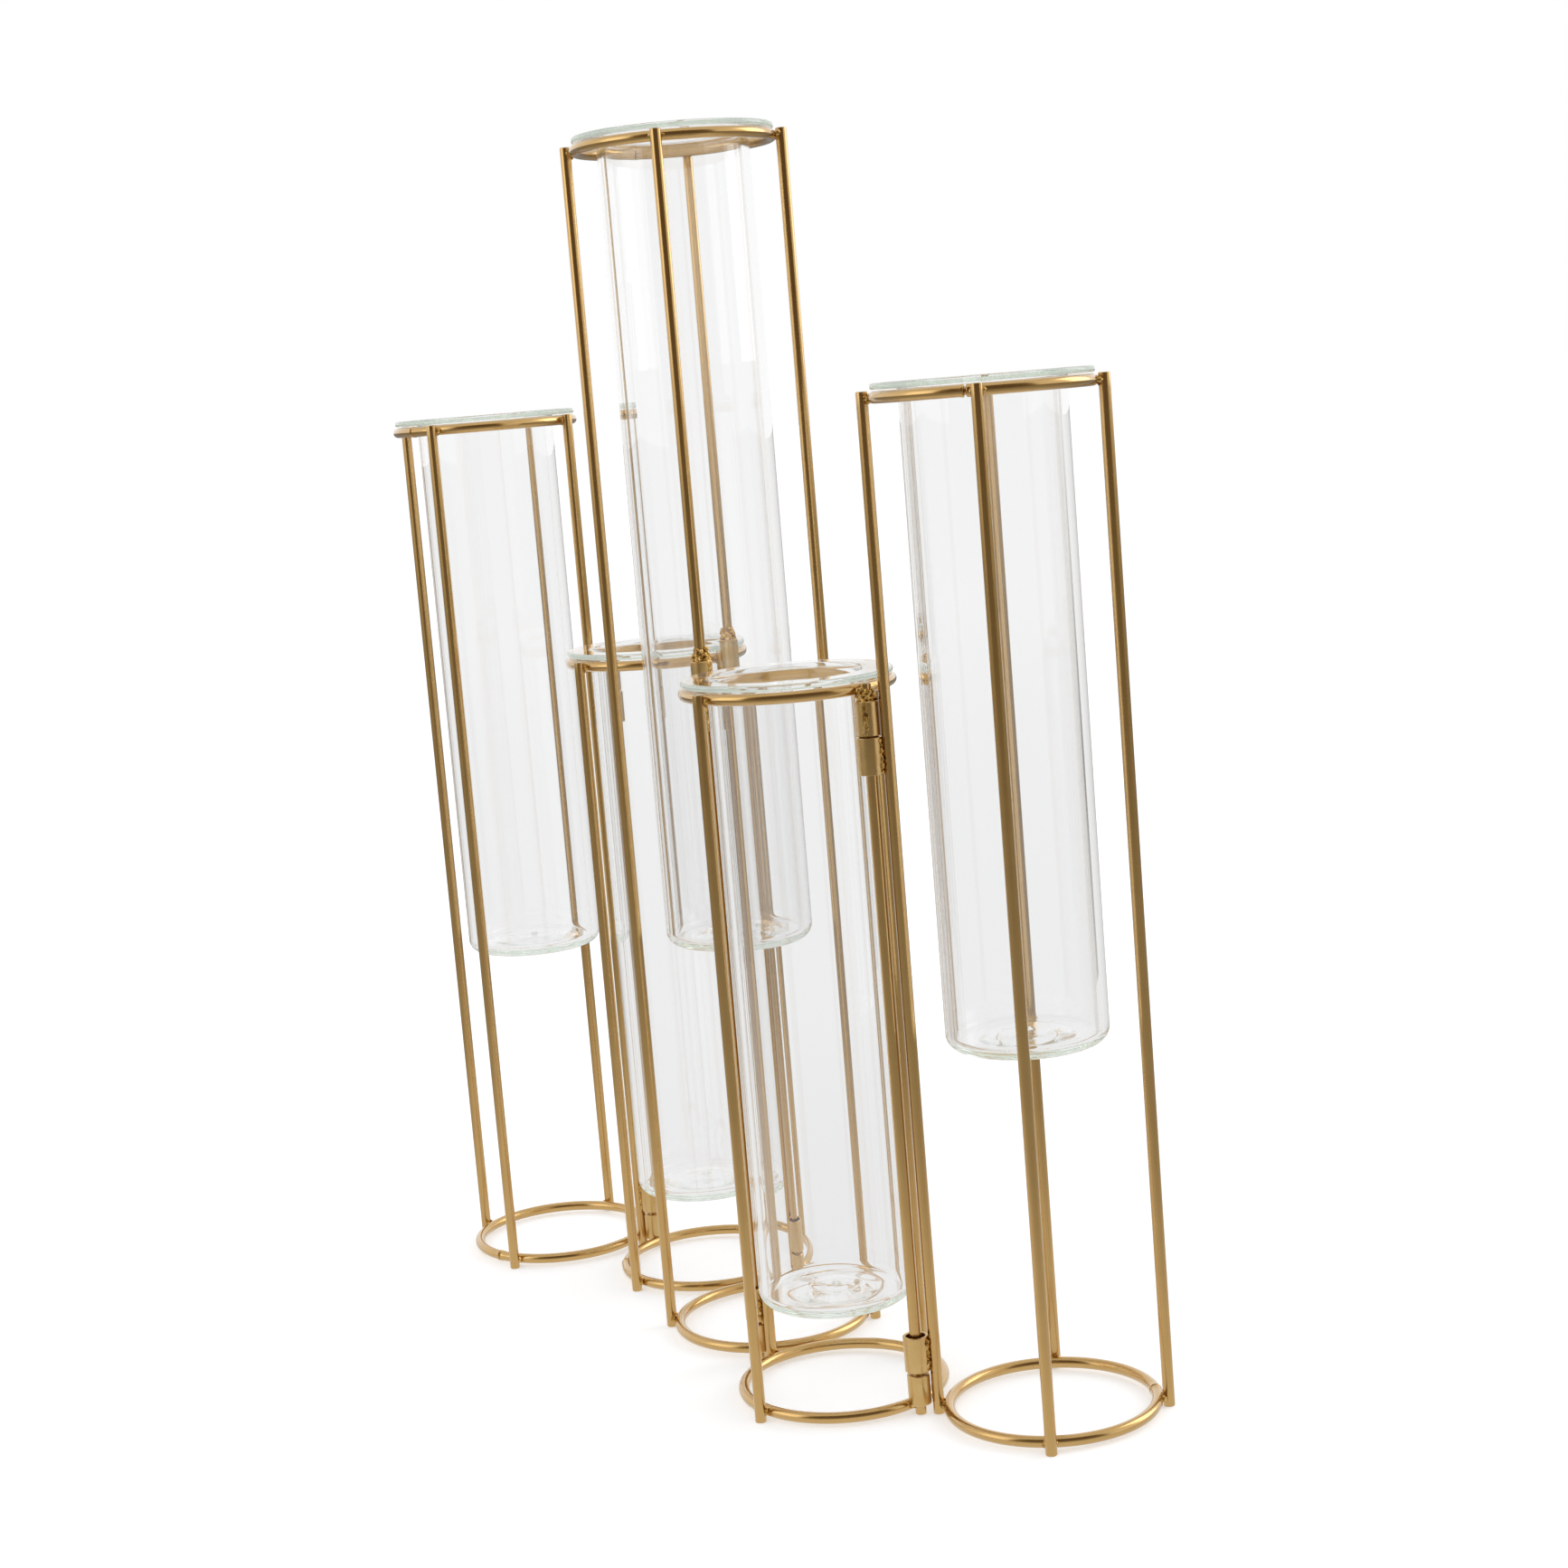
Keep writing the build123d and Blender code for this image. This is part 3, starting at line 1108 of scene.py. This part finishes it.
def soft_light(name, place, facing, width, height, power):
    """A broad flat light at a place, shining at a point."""
    data = bpy.data.lights.new(name, "AREA")
    data.shape = "RECTANGLE"
    data.size = width
    data.size_y = height
    data.energy = power
    aim(bpy.data.objects.new(name, data), place, facing, "-Z")


def hide_from_view(item, gloss):
    """Leaves an item to reflections, or else to what shows through glass."""
    item.visible_camera = False
    item.visible_diffuse = False
    item.visible_shadow = False
    item.visible_glossy = gloss
    item.visible_transmission = not gloss


def new_glow(name):
    """A material that reflects nothing and gives out the colour it is linked to."""
    material, tree, shader = new_material(name)
    shader.inputs["Base Color"].default_value = (0, 0, 0, 1)
    shader.inputs["Specular IOR Level"].default_value = 0.0
    shader.inputs["Emission Strength"].default_value = 1.0
    return material, tree, shader.inputs["Emission Color"]


def add_glowing_floor(name, near, far, tones, gloss):
    """A floor that shades from its middle out, for reflections or else for what glass shows."""
    floor = panel(name, (0, 0, 0), (0, 0, 1), FLOOR_WIDTH, FLOOR_WIDTH)
    material, tree, glow = new_glow(name)
    length = add(tree, "ShaderNodeVectorMath", operation="LENGTH")
    link(tree, object_place(tree), length.inputs[0])
    away = span(tree, length.outputs["Value"], near, far, 0, 1)
    link(tree, ramp(tree, away, tones), glow)
    floor.data.materials.append(material)
    hide_from_view(floor, gloss)


def add_floor():
    """The plain pale floor that the camera sees."""
    floor = panel("floor", (0, 0, 0), (0, 0, 1), FLOOR_WIDTH, FLOOR_WIDTH)
    material, tree, shader = new_material("floor_paper")
    grain = noise(tree, object_place(tree), PAPER_GRAIN, detail=2.0)
    link(tree, mix(tree, grain, FLOOR_GREY, FLOOR_PALE), shader.inputs["Base Color"])
    shader.inputs["Roughness"].default_value = FLOOR_ROUGHNESS
    shader.inputs["Specular IOR Level"].default_value = FLOOR_SHINE
    shader.inputs["Emission Color"].default_value = (1, 1, 1, 1)
    shader.inputs["Emission Strength"].default_value = FLOOR_GLOW
    floor.data.materials.append(material)
    floor.visible_glossy = False
    floor.visible_transmission = False


def add_card(name, foot, width, height, tones, gloss):
    """An upright card that faces the vase and shades from its foot to its top."""
    half_height = Vector((0, 0, height / 2))
    card = panel(name, foot + half_height, half_height, width, height)
    material, tree, glow = new_glow(name)
    split = tree.nodes.new("ShaderNodeSeparateXYZ")
    link(tree, object_place(tree), split.inputs["Vector"])
    share = span(tree, split.outputs["Y"], -height / 2, height / 2, 0, 1)
    link(tree, ramp(tree, share, tones), glow)
    card.data.materials.append(material)
    hide_from_view(card, gloss)


def camera_turn():
    """The turn from the vase to the camera."""
    return atan2(CAMERA_PLACE.y, CAMERA_PLACE.x)


def add_dark_card():
    """A dark card beside the camera, paler at its foot, which wire and glass reflect."""
    foot = level(CAMERA_PLACE, 0).normalized() * CARD_DISTANCE
    add_card("dark_card", foot, CARD_WIDTH, CARD_HEIGHT, CARD_TONES, gloss=True)


def add_side_cards():
    """Cards out at both sides, grey at the foot, which draw thin grey lines in the glass."""
    for name, turn in (("left_card", -SIDE_CARD_TURN), ("right_card", SIDE_CARD_TURN)):
        foot = heading(camera_turn() + turn) * SIDE_CARD_DISTANCE
        add_card(name, foot, SIDE_CARD_WIDTH, SIDE_CARD_HEIGHT, SIDE_CARD_TONES, gloss=False)


def add_world():
    """A white surround that greys a little overhead."""
    world = bpy.data.worlds.new("studio")
    bpy.context.scene.world = world
    world.use_nodes = True
    tree = world.node_tree
    sky = tree.nodes["Background"]
    way = tree.nodes.new("ShaderNodeTexCoord").outputs["Generated"]
    split = tree.nodes.new("ShaderNodeSeparateXYZ")
    link(tree, way, split.inputs["Vector"])
    link(tree, ramp(tree, split.outputs["Z"], SKY_TONES), sky.inputs["Color"])
    sky.inputs["Strength"].default_value = 1.0


def set_picture():
    """Plain colours, and enough bounces for light to cross all the glass."""
    scene = bpy.context.scene
    scene.view_settings.view_transform = "Standard"
    scene.view_settings.look = "None"
    scene.cycles.max_bounces = LIGHT_BOUNCES
    scene.cycles.transmission_bounces = LIGHT_BOUNCES
    scene.cycles.glossy_bounces = LIGHT_BOUNCES
    scene.cycles.caustics_refractive = True
    scene.cycles.caustics_reflective = True


def add_side_lights():
    """A tall soft light out at each side, the stronger one a little behind the vase."""
    target = Vector((0, 0, LIGHT_FOOT))
    for name, turn, power in SIDE_LIGHTS:
        place = heading(camera_turn() + turn) * LIGHT_DISTANCE
        place.z = LIGHT_FOOT + LIGHT_HEIGHT / 2
        soft_light(name, place, target, LIGHT_WIDTH, LIGHT_HEIGHT, power)


add_camera()
add_floor()
add_glowing_floor("dim_floor", BRIGHT_FLOOR_REACH, DIM_FLOOR_REACH, DIM_FLOOR_TONES, gloss=True)
add_glowing_floor("glass_floor", 0, GLASS_FLOOR_REACH, GLASS_FLOOR_TONES, gloss=False)
add_dark_card()
add_side_cards()
add_world()
add_side_lights()
set_picture()
